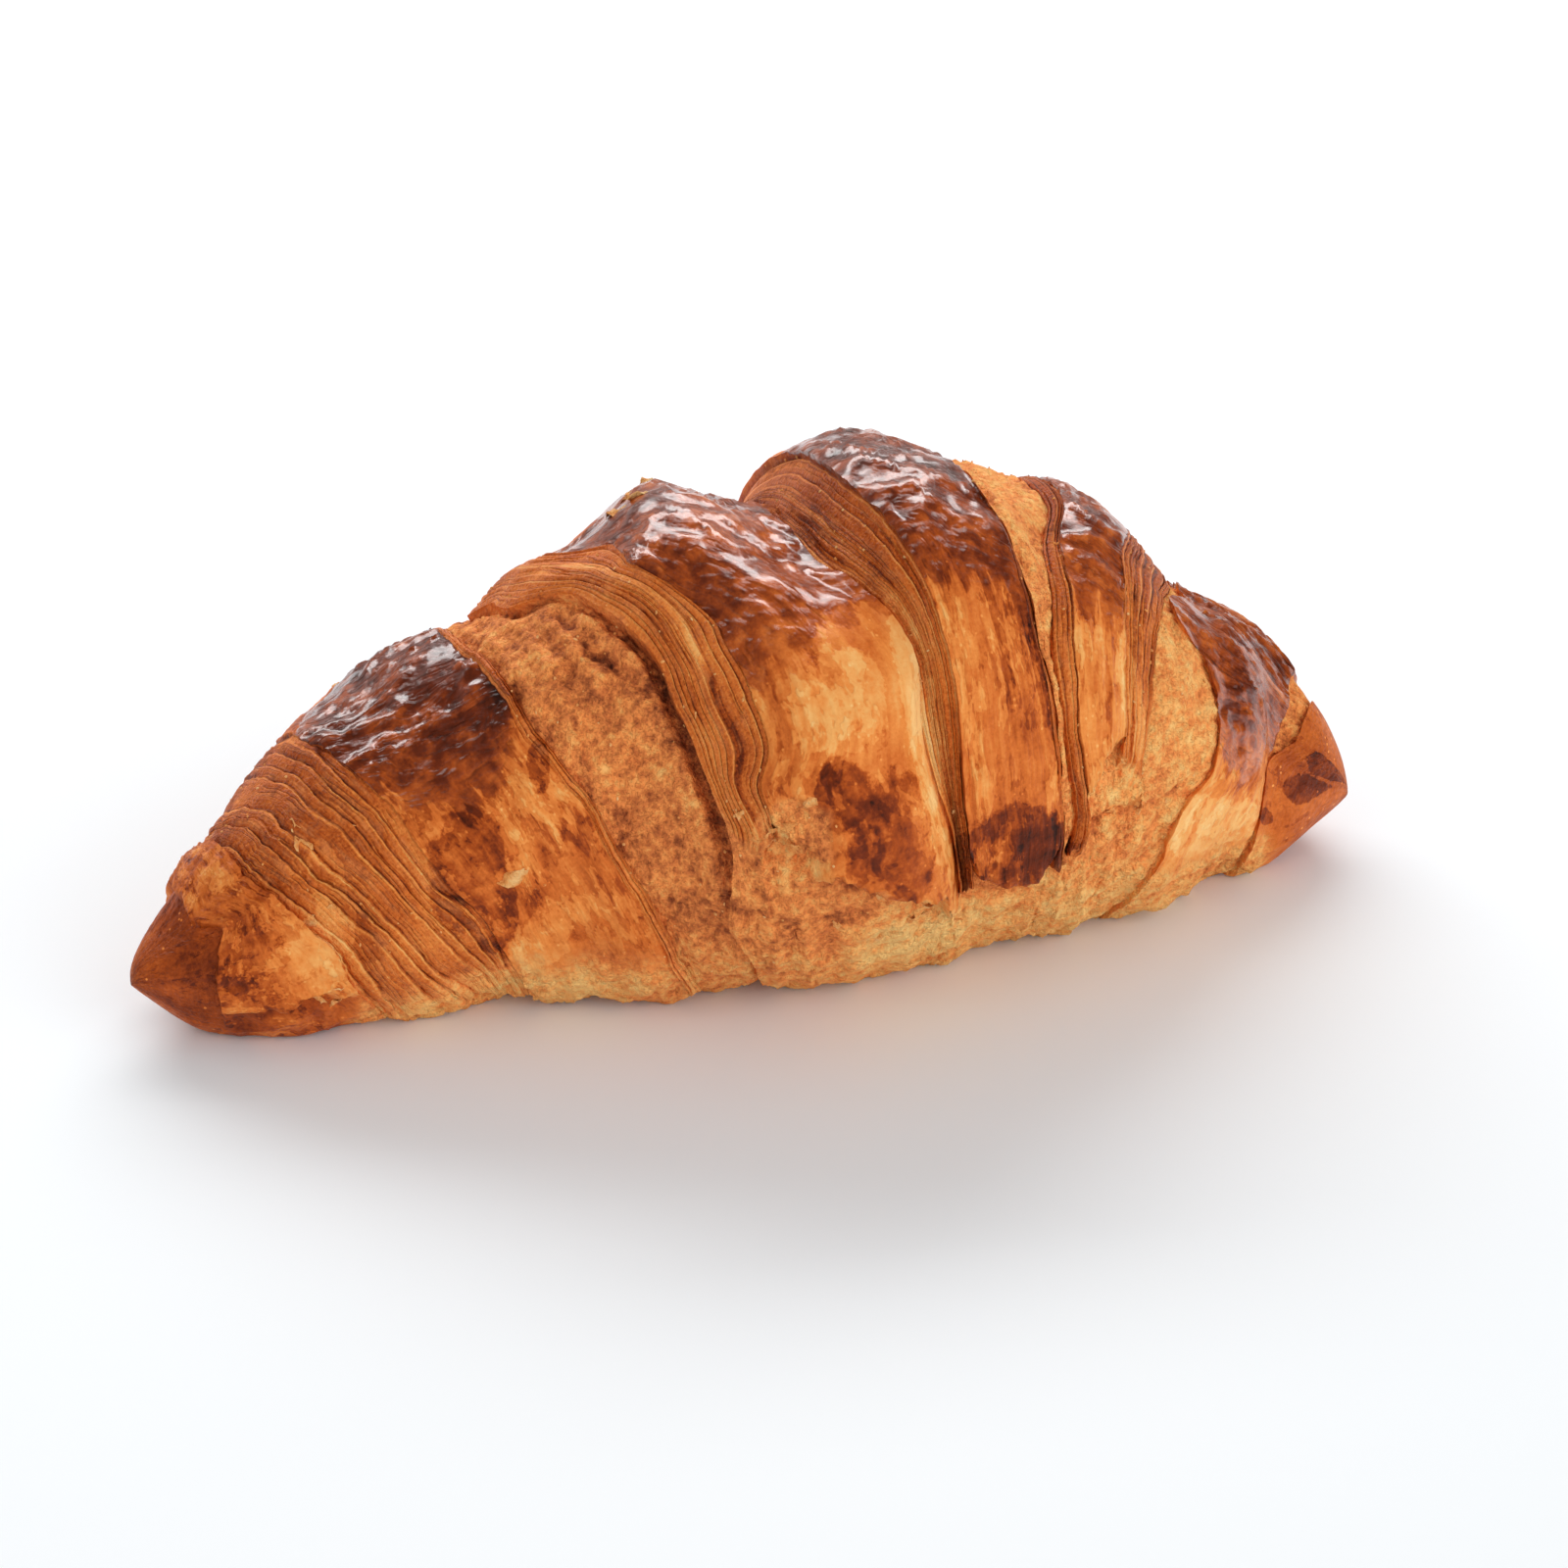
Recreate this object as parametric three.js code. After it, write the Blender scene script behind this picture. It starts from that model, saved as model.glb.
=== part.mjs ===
// A baked croissant, one piece of laminated dough. A long triangle is rolled up from its base,
// so each wrap ends in a step on both sides of the middle, and the triangle's tip lies over the
// top as a tongue that ends low on the front. Its cut edges show as stacks of thin leaves, and
// dough that burst out between two wraps shows as rough splits.
// The roll lies along X, the front with the tongue's end faces -Y, and it rests on a flat underside.
import * as THREE from "three";

// Driving sizes, in millimetres.
const LENGTH = 170;
const HALF_WIDTH = 33.5;
const HALF_HEIGHT = 35;
const UNDERSIDE_SINK = 5; // how much of the round section the flat underside takes away
const LIFT_LEFT = 13; // how far the left tip's centre stands over the sunk section's
const LIFT_RIGHT = 12;
const UNDERSIDE_EASE = 0.8; // rounding where the flat underside meets the sides
const TIP_ROUNDING = 0.6; // power of the rounded tips' outline
const BARE_TIP = 8; // relief fades out over this much of each tip
const LEAF_RELIEF = 0.9; // how deep the grooves between the leaves of a cut edge are
const CRAG_RELIEF = 1.4; // depth of the creases in dough that burst out, and low on the sides
const STEP_OVERHANG = 0.45; // the edge of a step hangs over by this share of its height
const MOST_OVERHANG = 0.7;
const STEP_RUN = 0.3; // less this run, so that a step of no height is no sharp fold
const LEAST_WRAP = 0.8; // no wrap is narrower than this

const ROWS = 50; // facets around the roll

const { sin, cos, abs, PI, min, max } = Math;
const { clamp, smoothstep, degToRad, radToDeg } = THREE.MathUtils;
const HALF_LENGTH = LENGTH / 2;

// The bare roll at places along its length: share of the full width and height, and the sideways
// place of its centre line.
const STATIONS = [
  { at: -85, wide: 0.6, tall: 0.55, aside: 1.5 },
  { at: -72, wide: 0.78, tall: 0.76, aside: 3.5 },
  { at: -60, wide: 0.8, tall: 0.8, aside: 5.5 },
  { at: -50, wide: 0.78, tall: 0.77, aside: 6.8 },
  { at: -38, wide: 0.76, tall: 0.82, aside: 7.9 },
  { at: -27, wide: 0.77, tall: 0.88, aside: 7.5 },
  { at: -16, wide: 0.86, tall: 0.9, aside: 6.2 },
  { at: -5, wide: 1.03, tall: 0.87, aside: 4.4 },
  { at: 6, wide: 1.05, tall: 0.89, aside: 2.9 },
  { at: 17, wide: 1.02, tall: 0.99, aside: 2.8 },
  { at: 28, wide: 1, tall: 1.02, aside: 2.5 },
  { at: 40, wide: 1, tall: 1, aside: 2.5 },
  { at: 50, wide: 1.02, tall: 1.01, aside: 2.5 },
  { at: 62, wide: 0.9, tall: 1, aside: 2.5 },
  { at: 72, wide: 0.88, tall: 1, aside: 1.8 },
  { at: 85, wide: 0.85, tall: 0.9, aside: -3 },
];

// The wraps from the left tip to the right. Each reaches along the roll to the four places in
// until (on top, in front, underneath and at the back), stands from and to that far proud at its
// two ends, swells by crown between them, and has that many leaves if it is a cut edge. On the
// front it ends at the angle reach, where 0 is level with the middle and 90 on top, with a slant
// across its width. Its edge bows along the roll by so much, round an angle, over so many degrees.
const WRAPS = [
  { name: "left tip", until: [-74, -76, -75, -75], columns: 7, from: 0, to: 0, rough: 0.2, bows: [[-3.4, 88, 48]] },
  {
    name: "first wrap", until: [-71, -60.5, -54, -68], columns: 4, from: 1.2, to: 0.6, crown: 0.3, reach: -60,
    bows: [[-2.9, 24, 90]],
  },
  {
    name: "torn leaves", until: [-68, -53, -42, -62], columns: 6, from: 0, to: -0.2, leaves: 3, rough: 0.4,
    reach: -45, bows: [[-1.9, 20, 70]],
  },
  {
    name: "second cut edge", until: [-58, -42, -30, -50], columns: 10, from: -0.2, to: 1.8, leaves: 5,
    reach: -45, bows: [[-2.3, -5, 62]],
  },
  {
    name: "left glazed wrap", until: [-36.5, -23.5, -7, -31], columns: 6, from: 2.2, to: 1.2, crown: 0.9,
    reach: -50, bows: [[-2.2, 70, 55], [1.2, -5, 40]],
  },
  {
    name: "left split", until: [-23, -10.5, 0, -15], columns: 4, from: 0, to: -1.4, crown: 0.5, rough: 1,
    bows: [[5.5, 31, 48], [-8, 106, 30]],
  },
  {
    name: "third cut edge", until: [-17, -3, 5, -7], columns: 8, from: 0, to: 2.6, crown: 0.2, leaves: 4,
    reach: 10, bows: [[7.6, 46, 38], [-7.5, 117, 26]],
  },
  {
    name: "left crown", until: [-2, 15.5, 17, 4], columns: 6, from: 2.8, to: 0.8, crown: 3.2, reach: -5,
    slant: -38, bows: [[8, 82, 70]],
  },
  {
    name: "tongue's cut edge", until: [8, 18, 19.5, 13], columns: 10, from: -0.6, to: 2.8, crown: -0.6,
    leaves: 5, reach: -22, bows: [[4.6, 80, 80]],
  },
  { name: "tongue", until: [29.5, 31, 30.5, 28.5], columns: 5, from: 4.1, to: 3, crown: 0.4, reach: -17 },
  {
    name: "right split", until: [41, 33, 32, 38], columns: 3, from: 1.9, to: 1.2, crown: 0.3, rough: 0.6,
    bows: [[-4, 44, 46]],
  },
  {
    name: "right crown", until: [54, 42, 37, 54], columns: 5, from: 1.8, to: 2.2, crown: 0.8, reach: 12,
    slant: 12, bows: [[-4, 40, 62]],
  },
  {
    name: "fourth cut edge", until: [59.2, 46, 39, 60], columns: 8, from: 2, to: -1.2, crown: 0.3, leaves: 4,
    reach: 12, bows: [[-3.3, 20, 64]],
  },
  {
    name: "right valley", until: [61, 54, 44, 62], columns: 2, from: -1.4, to: -1, rough: 0.6,
    bows: [[-3.6, 62, 16], [1.8, 24, 26], [-2.3, -20, 34]],
  },
  {
    name: "right glazed wrap", until: [77, 68.5, 58, 74], columns: 5, from: -0.1, to: 0.3, crown: 0.9,
    reach: -50, bows: [[1.2, 40, 40]],
  },
  { name: "last sliver", until: [80, 74, 64, 78], columns: 2, from: -1.3, to: -1.1, bows: [[-3.4, -4, 44]] },
  { name: "right tip", until: [85, 85, 85, 85], columns: 7, from: 0.1, to: 0, crown: 1 },
];

// Broad hollows and swellings: place along the roll, angle, half sizes of both, and height.
const SWELLINGS = [
  [-19, 114, 10, 50, -3.4],
  [26, 96, 10, 46, -1.4],
  [62.5, 84, 4, 34, -0.9],
  [78, -18, 8, 34, 1.3],
];

// A smooth curve through the stations, read at a place along the roll.
function alongRoll(at, key) {
  const last = STATIONS.length - 1;
  const place = clamp(at, STATIONS[0].at, STATIONS[last].at);
  let i = 0;
  while (i < last - 1 && place >= STATIONS[i + 1].at) i += 1;
  const slope = (k) => {
    const a = STATIONS[max(k - 1, 0)];
    const b = STATIONS[min(k + 1, last)];
    return (b[key] - a[key]) / (b.at - a.at);
  };
  const [a, b] = [STATIONS[i], STATIONS[i + 1]];
  const width = b.at - a.at;
  const t = (place - a.at) / width;
  const rise = t * t * (3 - 2 * t);
  const leave = t * (1 - t) * (1 - t) * width * slope(i);
  const arrive = t * t * (t - 1) * width * slope(i + 1);
  return a[key] * (1 - rise) + b[key] * rise + leave + arrive;
}

// One near the middle of a bow or swelling, falling to zero at the given share of its size.
function bump(distance, flat) {
  return 1 - smoothstep(distance, flat, 1);
}

// The edge of a wrap all round the roll, from its places on top, in front, underneath and behind.
function wrapEdge(index, angle) {
  if (index < 0) return -HALF_LENGTH;
  const { until, bows = [] } = WRAPS[index];
  const [top, front, under, back] = until;
  const middle = (top + front + under + back) / 4;
  const twist = (front + back - top - under) / 4;
  let edge = middle + ((top - under) / 2) * sin(angle) + ((front - back) / 2) * cos(angle);
  edge += twist * cos(2 * angle);
  for (const [amount, turn, half] of bows) edge += amount * bump(abs(radToDeg(angle) - turn) / half, 0.35);
  return max(edge, wrapEdge(index - 1, angle) + LEAST_WRAP);
}

// A wrap is there down to its end on the front, and none of it past that.
function frontShare(wrap, t, angle) {
  if (wrap.reach === undefined) return 1;
  const reach = wrap.reach + (wrap.slant ?? 0) * (t - 0.5);
  return smoothstep(radToDeg(angle), reach - 4, reach + 4);
}

// How much of a wrap's relief is there at an angle: little underneath.
function presence(wrap, t, angle) {
  const turn = radToDeg(angle);
  const sides = smoothstep(turn, -80, -35) * (1 - smoothstep(turn, 215, 255));
  return frontShare(wrap, t, angle) * (0.3 + 0.7 * sides);
}

// Height of the broad hollows and swellings at a place and an angle.
function swelling(at, angle) {
  return SWELLINGS.reduce((sum, [place, turn, halfRun, halfTurn, rise]) => {
    const away = Math.hypot((at - place) / halfRun, (radToDeg(angle) - turn) / halfTurn);
    return sum + rise * bump(away, 0.1);
  }, 0);
}

// Broad unevenness of the baked dough.
function lumps(at, angle) {
  return 0.45 * sin(at * 0.21 + 2 * angle + 0.6) + 0.4 * sin(at * 0.13 - 3 * angle + 2.1) + 0.3 * sin(at * 0.37 + 4 * angle + 4);
}

// Creases of rough dough, deepest where two slanting waves cross.
function crags(at, angle) {
  const across = sin(at * 0.62 + 1.4 * sin(at * 0.19) + 4 * angle + 0.5);
  const along = sin(at * 0.35 - 6 * angle + 1.2 * sin(3 * angle));
  return CRAG_RELIEF * (0.4 - abs(across * along));
}

// Flattens what would lie below the resting plane, with a small rounding beside it.
function rest(z) {
  if (z <= -UNDERSIDE_EASE) return 0;
  if (z >= UNDERSIDE_EASE) return z;
  return (z + UNDERSIDE_EASE) ** 2 / (4 * UNDERSIDE_EASE);
}

// The point at a place along the roll and an angle round it, standing proud by a height.
function pointOnRoll(at, angle, height) {
  const share = clamp(at / HALF_LENGTH, -1, 1);
  const outline = max(1 - share * share, 0) ** TIP_ROUNDING;
  const halfWidth = HALF_WIDTH * outline * alongRoll(at, "wide");
  const halfHeight = HALF_HEIGHT * outline * alongRoll(at, "tall");
  const lift = (at < 0 ? LIFT_LEFT : LIFT_RIGHT) * abs(share) ** 8;
  const forward = (halfWidth + height) * cos(angle);
  const z = halfHeight - UNDERSIDE_SINK + lift + (halfHeight + height) * sin(angle);
  const slope = alongRoll(at + 0.5, "aside") - alongRoll(at - 0.5, "aside");
  const turn = 1 / Math.hypot(1, slope);
  return new THREE.Vector3(at + slope * forward * turn, alongRoll(at, "aside") - forward * turn, rest(z));
}

// Half of how far the two sides of a step reach past each other: more for a high step.
function overlap(step) {
  return (min(abs(step) * STEP_OVERHANG, MOST_OVERHANG) - STEP_RUN) / 2;
}

// All columns of the surface. Each has functions from an angle to its place along the roll, to how
// far it stands proud and to how rough it is there.
function surfaceColumns() {
  const columns = [];
  const height = (wrap, t, angle) => {
    const leaves = wrap.leaves ? LEAF_RELIEF * (abs(sin(PI * wrap.leaves * t)) ** 0.6 - 0.5) : 0;
    const proud = wrap.from + (wrap.to - wrap.from) * t + (wrap.crown ?? 0) * sin(PI * t) + leaves;
    return proud * presence(wrap, t, angle);
  };
  WRAPS.forEach((wrap, index) => {
    const before = WRAPS[index - 1];
    const after = WRAPS[index + 1];
    for (let k = 0; k <= wrap.columns; k += 1) {
      const t = k / wrap.columns;
      // Columns crowd towards the two tips, where the outline turns round.
      let share = t;
      if (!before) share = t * t;
      if (!after) share = 1 - (1 - t) ** 2;
      columns.push({
        at: (angle) => {
          const start = wrapEdge(index - 1, angle);
          const place = start + ((after ? wrapEdge(index, angle) : HALF_LENGTH) - start) * share;
          if (before && k === 0) return place - overlap(height(wrap, 0, angle) - height(before, 1, angle));
          if (after && k === wrap.columns) return place + overlap(height(after, 0, angle) - height(wrap, 1, angle));
          return place;
        },
        height: (angle) => height(wrap, t, angle),
        rough: (angle) => max(wrap.rough ?? 0, 1 - frontShare(wrap, t, angle)),
      });
    }
  });
  return columns;
}

// A lathe blank with one point for each column, shaped by moving each of its vertices.
function croissantGeometry() {
  const columns = surfaceColumns();
  const blank = columns.map((_, i) => new THREE.Vector2(sin((PI * i) / (columns.length - 1)), i));
  blank[0].x = 0;
  blank[columns.length - 1].x = 0;
  const geometry = new THREE.LatheGeometry(blank, ROWS);
  const position = geometry.getAttribute("position");
  for (let row = 0; row <= ROWS; row += 1) {
    const angle = degToRad(-90 + (360 * ((ROWS - row) % ROWS)) / ROWS);
    columns.forEach((column, i) => {
      const at = column.at(angle);
      const bare = smoothstep(HALF_LENGTH - abs(at), 0, BARE_TIP);
      const rough = crags(at, angle) * column.rough(angle);
      const height = column.height(angle) + lumps(at, angle) + rough + swelling(at, angle);
      const point = pointOnRoll(at, angle, height * bare);
      position.setXYZ(row * columns.length + i, point.x, point.y, point.z);
    });
  }
  // The middle of the underside's box goes to the origin.
  geometry.computeBoundingBox();
  const middle = geometry.boundingBox.getCenter(new THREE.Vector3());
  geometry.translate(-middle.x, -middle.y, 0);
  geometry.computeVertexNormals();
  return geometry;
}

const crust = new THREE.MeshStandardMaterial({ color: 0xc4762f, roughness: 0.55, metalness: 0 });
const croissant = new THREE.Mesh(croissantGeometry(), crust);
croissant.name = "croissant";

const part = new THREE.Group();
part.add(croissant);

export default part;
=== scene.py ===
import math

import bpy
import numpy as np
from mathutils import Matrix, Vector, noise


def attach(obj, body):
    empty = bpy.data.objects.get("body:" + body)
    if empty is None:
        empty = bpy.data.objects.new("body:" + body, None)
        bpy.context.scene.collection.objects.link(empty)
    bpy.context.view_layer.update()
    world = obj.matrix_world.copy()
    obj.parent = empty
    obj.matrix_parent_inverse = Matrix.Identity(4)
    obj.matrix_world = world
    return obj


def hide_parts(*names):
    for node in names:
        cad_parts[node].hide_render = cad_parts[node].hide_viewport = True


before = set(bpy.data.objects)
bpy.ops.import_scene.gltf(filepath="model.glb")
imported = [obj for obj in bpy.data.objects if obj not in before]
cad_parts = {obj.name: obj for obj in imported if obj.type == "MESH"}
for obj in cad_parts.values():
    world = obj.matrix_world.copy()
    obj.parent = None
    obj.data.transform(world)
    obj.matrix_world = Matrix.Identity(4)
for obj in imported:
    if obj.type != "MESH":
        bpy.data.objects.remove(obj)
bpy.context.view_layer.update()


# Baked dough
# The whole roll is one closed skin of laminated dough: egg-washed wraps, cut edges that show
# their leaves, and rough dough that burst out between the wraps. It is drawn as rings along
# the roll, in millimetres, with the relief of its leaves, blisters and crags in the mesh.

HALF_LENGTH = 85.0
HALF_WIDTH = 33.5
HALF_HEIGHT = 35.0
UNDERSIDE_SINK = 5.0
LIFT_LEFT, LIFT_RIGHT = 13.0, 12.0
UNDERSIDE_EASE = 0.8
TIP_ROUNDING = 0.6
BARE_TIP = 8.0
BOX_CENTRE = (0.096, 2.789)   # the roll's own middle, which the solid moved to the origin

# Place along the roll, share of the width, share of the height, and how far the line is aside.
STATIONS = np.array([
    (-85, 0.60, 0.55, 1.5), (-72, 0.78, 0.76, 3.5), (-60, 0.80, 0.80, 5.5), (-50, 0.78, 0.77, 6.8),
    (-38, 0.76, 0.82, 7.9), (-27, 0.77, 0.88, 7.5), (-16, 0.86, 0.90, 6.2), (-5, 1.03, 0.87, 4.4),
    (6, 1.05, 0.89, 2.9), (17, 1.02, 0.99, 2.8), (28, 1.00, 1.02, 2.5), (40, 1.00, 1.00, 2.5),
    (50, 1.02, 1.01, 2.5), (62, 0.90, 1.00, 2.5), (72, 0.88, 1.00, 1.8), (85, 0.85, 0.90, -3.0),
])

# Each wrap reaches to four places along the roll: on top, in front, underneath and behind.
# It stands from and to so far proud, swells by crown, has leaves if it is a cut edge, and ends
# on the front at the angle reach, with a slant across its width, rounded corners, and a more or
# less frayed end. Its edge bows along the roll by so much, around an angle and over so many
# degrees to each side.
WRAPS = [
    dict(kind="crust", until=(-74, -76, -75, -75), columns=18, stand=(0, -0.3), bake=0.66,
         bows=[(-3.4, 88, 48), (-0.8, 10, 40)]),
    dict(kind="skin", until=(-71, -60.5, -54, -68), columns=26, stand=(1.7, 0.9), crown=0.3, reach=-16,
         bake=0.56, bows=[(-2.9, 24, 90)]),
    dict(kind="leaves", until=(-68, -53, -42, -62), columns=34, stand=(-0.8, 0.2), leaves=3, reach=-45,
         depth=0.7, bake=0.58, bows=[(-1.9, 20, 70)]),
    dict(kind="leaves", until=(-58, -42, -30, -50), columns=48, stand=(-0.2, 1.8), leaves=5, reach=-45,
         depth=0.6, bake=0.58, bows=[(-2.3, -5, 62)]),
    dict(kind="skin", until=(-36.5, -23.5, -7, -31), columns=50, stand=(2.2, 1.2), crown=0.9, reach=-50,
         bake=0.53, bows=[(-2.2, 70, 55), (1.2, -5, 40)]),
    dict(kind="leaves", until=(-34.9, -21.9, -5.5, -29.5), columns=14, stand=(1.1, 0.2), crown=0.2,
         leaves=3, reach=-50, bake=0.50, bows=[(-2.2, 70, 55), (1.2, -5, 40)]),
    dict(kind="split", until=(-23, -10.5, 0, -15), columns=36, stand=(0.0, -1.4), crown=0.5, bake=0.56,
         bows=[(5.5, 31, 48), (-8, 106, 30), (-7, 150, 44)]),
    dict(kind="leaves", until=(-17, -3, 5, -7), columns=44, stand=(0.0, 2.6), crown=0.2, leaves=8,
         reach=10, frayed=0.25, rounded=5, bake=0.48,
         bows=[(7.4, 51, 28), (3.2, 22, 19), (-7.5, 117, 26), (-6.5, 158, 42)]),
    dict(kind="skin", until=(-2, 15.5, 17, 4), columns=46, stand=(2.8, 0.8), crown=3.2, reach=-5,
         slant=-38, bake=0.47, bows=[(8, 82, 70)]),
    dict(kind="leaves", until=(8, 18, 19.5, 13), columns=50, stand=(-0.6, 2.8), crown=-0.6, leaves=15,
         depth=0.4, reach=-14, bake=0.53, bows=[(4.6, 80, 80)]),
    dict(kind="skin", until=(29, 30.5, 30, 28), columns=36, stand=(4.1, 2.6), crown=0.4, reach=-17,
         frayed=0.4, rounded=10, bake=0.52),
    dict(kind="leaves", until=(30, 31.6, 31, 29.2), columns=10, stand=(2.6, 1.0), crown=0.1, leaves=2,
         reach=-15, bake=0.55),
    dict(kind="split", until=(41, 33, 32, 38), columns=18, stand=(1.9, 1.2), crown=0.3, reach=-12,
         bake=0.40, bows=[(-4.0, 44, 46)]),
    dict(kind="leaves", until=(44, 35, 33.5, 41), columns=14, stand=(1.3, 2.3), crown=0.1, leaves=3,
         reach=-10, bake=0.56, bows=[(-3.8, 46, 52)]),
    dict(kind="skin", until=(54, 42, 37, 54), columns=26, stand=(2.6, 2.2), crown=0.8, reach=12,
         slant=12, bake=0.44, bows=[(-4, 40, 62)]),
    dict(kind="leaves", until=(59.2, 46, 39, 60), columns=40, stand=(2.0, -1.2), crown=0.3, leaves=8,
         reach=12, bake=0.56, bows=[(-3.3, 20, 64)]),
    dict(kind="split", until=(61, 54, 44, 62), columns=16, stand=(-1.4, -1.0), bake=0.36,
         bows=[(-3.6, 62, 16), (1.8, 24, 26), (-2.3, -20, 34)]),
    dict(kind="skin", until=(77, 68.5, 58, 74), columns=30, stand=(-0.1, 0.3), crown=0.9, reach=-50,
         bake=0.42, bows=[(1.2, 40, 40)]),
    dict(kind="split", until=(80, 74, 64, 78), columns=8, stand=(-1.3, -1.1), bake=0.48,
         bows=[(-3.4, -4, 44)]),
    dict(kind="crust", until=(85, 85, 85, 85), columns=16, stand=(0.1, 0), crown=1.0, bake=0.58),
]

# How far down the front the glaze runs: place along the roll, and the angle where it stops.
GLAZE_LINE = np.array([
    (-80, 125), (-70, 120), (-60, 90), (-58, 78), (-54, 64), (-48, 51), (-43, 44), (-38, 46), (-33, 55),
    (-26, 64), (-15, 66), (-10, 60), (-4, 55), (1, 59), (6, 62), (10, 72), (13, 64), (18, 60), (26, 60),
    (28, 52), (38, 60), (40, 55), (46, 54), (52, 62), (55, 26), (63, 14), (71, 28), (80, 40),
])

LEAF_DEPTH = 0.50      # depth of the grooves between leaves
FINE_LEAF = 0.6        # spacing of the fine lines on the leaves
SPECKS_PER_METRE = 770.0
CRAG_DEPTH = 1.4       # creases of burst dough, as in the solid
FLUFF_DEPTH = 0.42     # torn fibres of burst dough
BLISTER_SIZE = 3.2
BLISTER_RIDGE = 0.22
WRINKLE_DEPTH = 0.60   # slanting wrinkles of the glazed skin
STEP_OVERHANG = 0.45
MOST_OVERHANG = 0.7
STEP_RUN = 0.25
LEAST_WRAP = 0.8       # no wrap is narrower than this
ROWS = 164

# Places that baked darker or stayed paler, softly: along the roll, angle, half sizes, how much.
BAKE_SPOTS = [
    (-46, 16, 7.0, 26, -0.05), (5, 8, 8.0, 18, 0.03), (24, -8, 9.0, 18, 0.12), (12, 30, 4.0, 28, -0.16),
    (-73, 24, 4.0, 60, 0.08), (-66, 10, 4.0, 26, -0.08), (43, 15, 4.0, 22, -0.06),
    (-40, -36, 24.0, 18, -0.16), (79, 14, 6.0, 16, 0.06), (38, -14, 7.0, 12, 0.12),
    (22, 36, 5.0, 16, -0.04), (57, -8, 10.0, 14, -0.06),
    (-80, 20, 5.0, 80, 0.08), (64, 34, 6.0, 16, 0.08), (14, -34, 10.0, 14, -0.10),
    (-8, -8, 12.0, 12, 0.06), (-5, 30, 4.0, 28, 0.06), (-55, 20, 14.0, 60, -0.03),
    (16, 14, 1.8, 28, 0.08), (-20, 36, 6.0, 40, -0.05),
]

# Patches with torn outlines, dark where an outer leaf burnt and pale where it came away.
DARK_PATCHES = [
    (-46, 20, 5.5, 22), (-42.5, 0, 3.5, 14), (3.4, 22, 2.4, 8), (7.4, 6, 4.2, 20), (5.5, -8, 2.6, 9),
    (24, -8, 9.5, 15), (79, 6, 4.0, 11), (82, 28, 3.0, 14),
    (29.4, 44, 1.2, 26), (71, -12, 3.0, 5), (-33, 34, 2.0, 8),
]
PALE_PATCHES = [
    (12.2, 34, 2.4, 26), (12, -27, 8.0, 11), (20, 9, 1.7, 7), (57, -9, 11.0, 12), (-66, 6, 4.0, 22),
    (-63, 36, 2.4, 20), (5, 40, 4.0, 12), (44, 30, 2.0, 18), (-1, 13, 5.0, 11),
    (-34, -14, 5.0, 14), (-61.8, 18, 1.5, 14),
]
# Broad hollows and swellings of the whole roll: place, angle, half sizes and height.
SWELLINGS = [
    (-19, 114, 10, 50, -3.4), (26, 96, 10, 46, -1.4), (62.5, 84, 4, 34, -0.9), (78, -18, 8, 34, 1.3),
    (-80, -10, 8, 50, 0.8),
]

# Where loose flakes of crust stand up: place, angle, half sizes and how many there are.
FLAKY_PLACES = [
    (-13, 112, 3.5, 12, 1.0), (-5, 116, 2.5, 8, 0.7), (8, -18, 7.0, 10, 0.5), (-2, 14, 5.0, 12, 0.4),
    (-62, -14, 6.0, 10, 0.6), (22, -26, 8.0, 8, 0.5), (-38, 10, 6.0, 24, 0.25), (-64, 40, 3.0, 30, 0.3),
    (40, 4, 6.0, 10, 0.3), (-30, 150, 30.0, 26, 0.08), (35, 150, 30.0, 26, 0.08),
]

# Creases: place and angle of one end, then of the other, half width and depth.
CREASES = [
    (-64.5, 44, -61.5, 22, 1.1, 2.2), (-61.5, 22, -59.5, 0, 1.2, 2.6),
    (-26, 77, -23, 59, 1.0, 0.9), (-23, 59, -16, 44, 0.9, 1.1), (-28, 68, -24, 46, 0.8, 0.5),
    (-24, 46, -18, 26, 0.9, 0.5), (15, 29, 15.5, 8, 0.8, 0.3), (15.5, 8, 17, -7, 0.8, 0.4),
    (32, -9, 39, -1, 0.7, 1.2), (39, -1, 47, 0, 0.7, 0.9), (47, 0, 53, 6, 0.7, 0.6),
    (48, -2, 49, -14, 0.7, 0.7), (49, -14, 38, -32, 0.8, 0.9), (20, -22, 31, -24, 0.7, 0.7),
    (-12, -2, 0, -14, 0.8, 0.5), (3, -8, 4, -30, 0.8, 0.6),
]
BUBBLE = (20.0, 9.0, 1.9, 8.0)           # blown-up skin on the tongue: place, angle and half sizes
CRUMBLY_PATCH = (-1.0, 13.0, 5.0, 13.0)  # where the skin crumbled away beside the third cut edge
BUBBLE_RISE, BUBBLE_HOLLOW = 0.9, 0.5
CRUMBLE_DEPTH = 0.7
LEFT_SPLIT, TONGUE_SIDE = 6, 9           # their places in the list of wraps
SEAM_DEPTH, SEAM_SHADE = 1.7, 0.20        # where the left split sinks beside the third cut edge, and the painted shade that darkens that seam
TONGUE_SIDE_RISE = 2.2                   # the cut edge lies higher against the tongue


def smooth(low, high, value):
    t = np.clip((value - low) / (high - low), 0, 1)
    return t * t * (3 - 2 * t)


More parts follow.
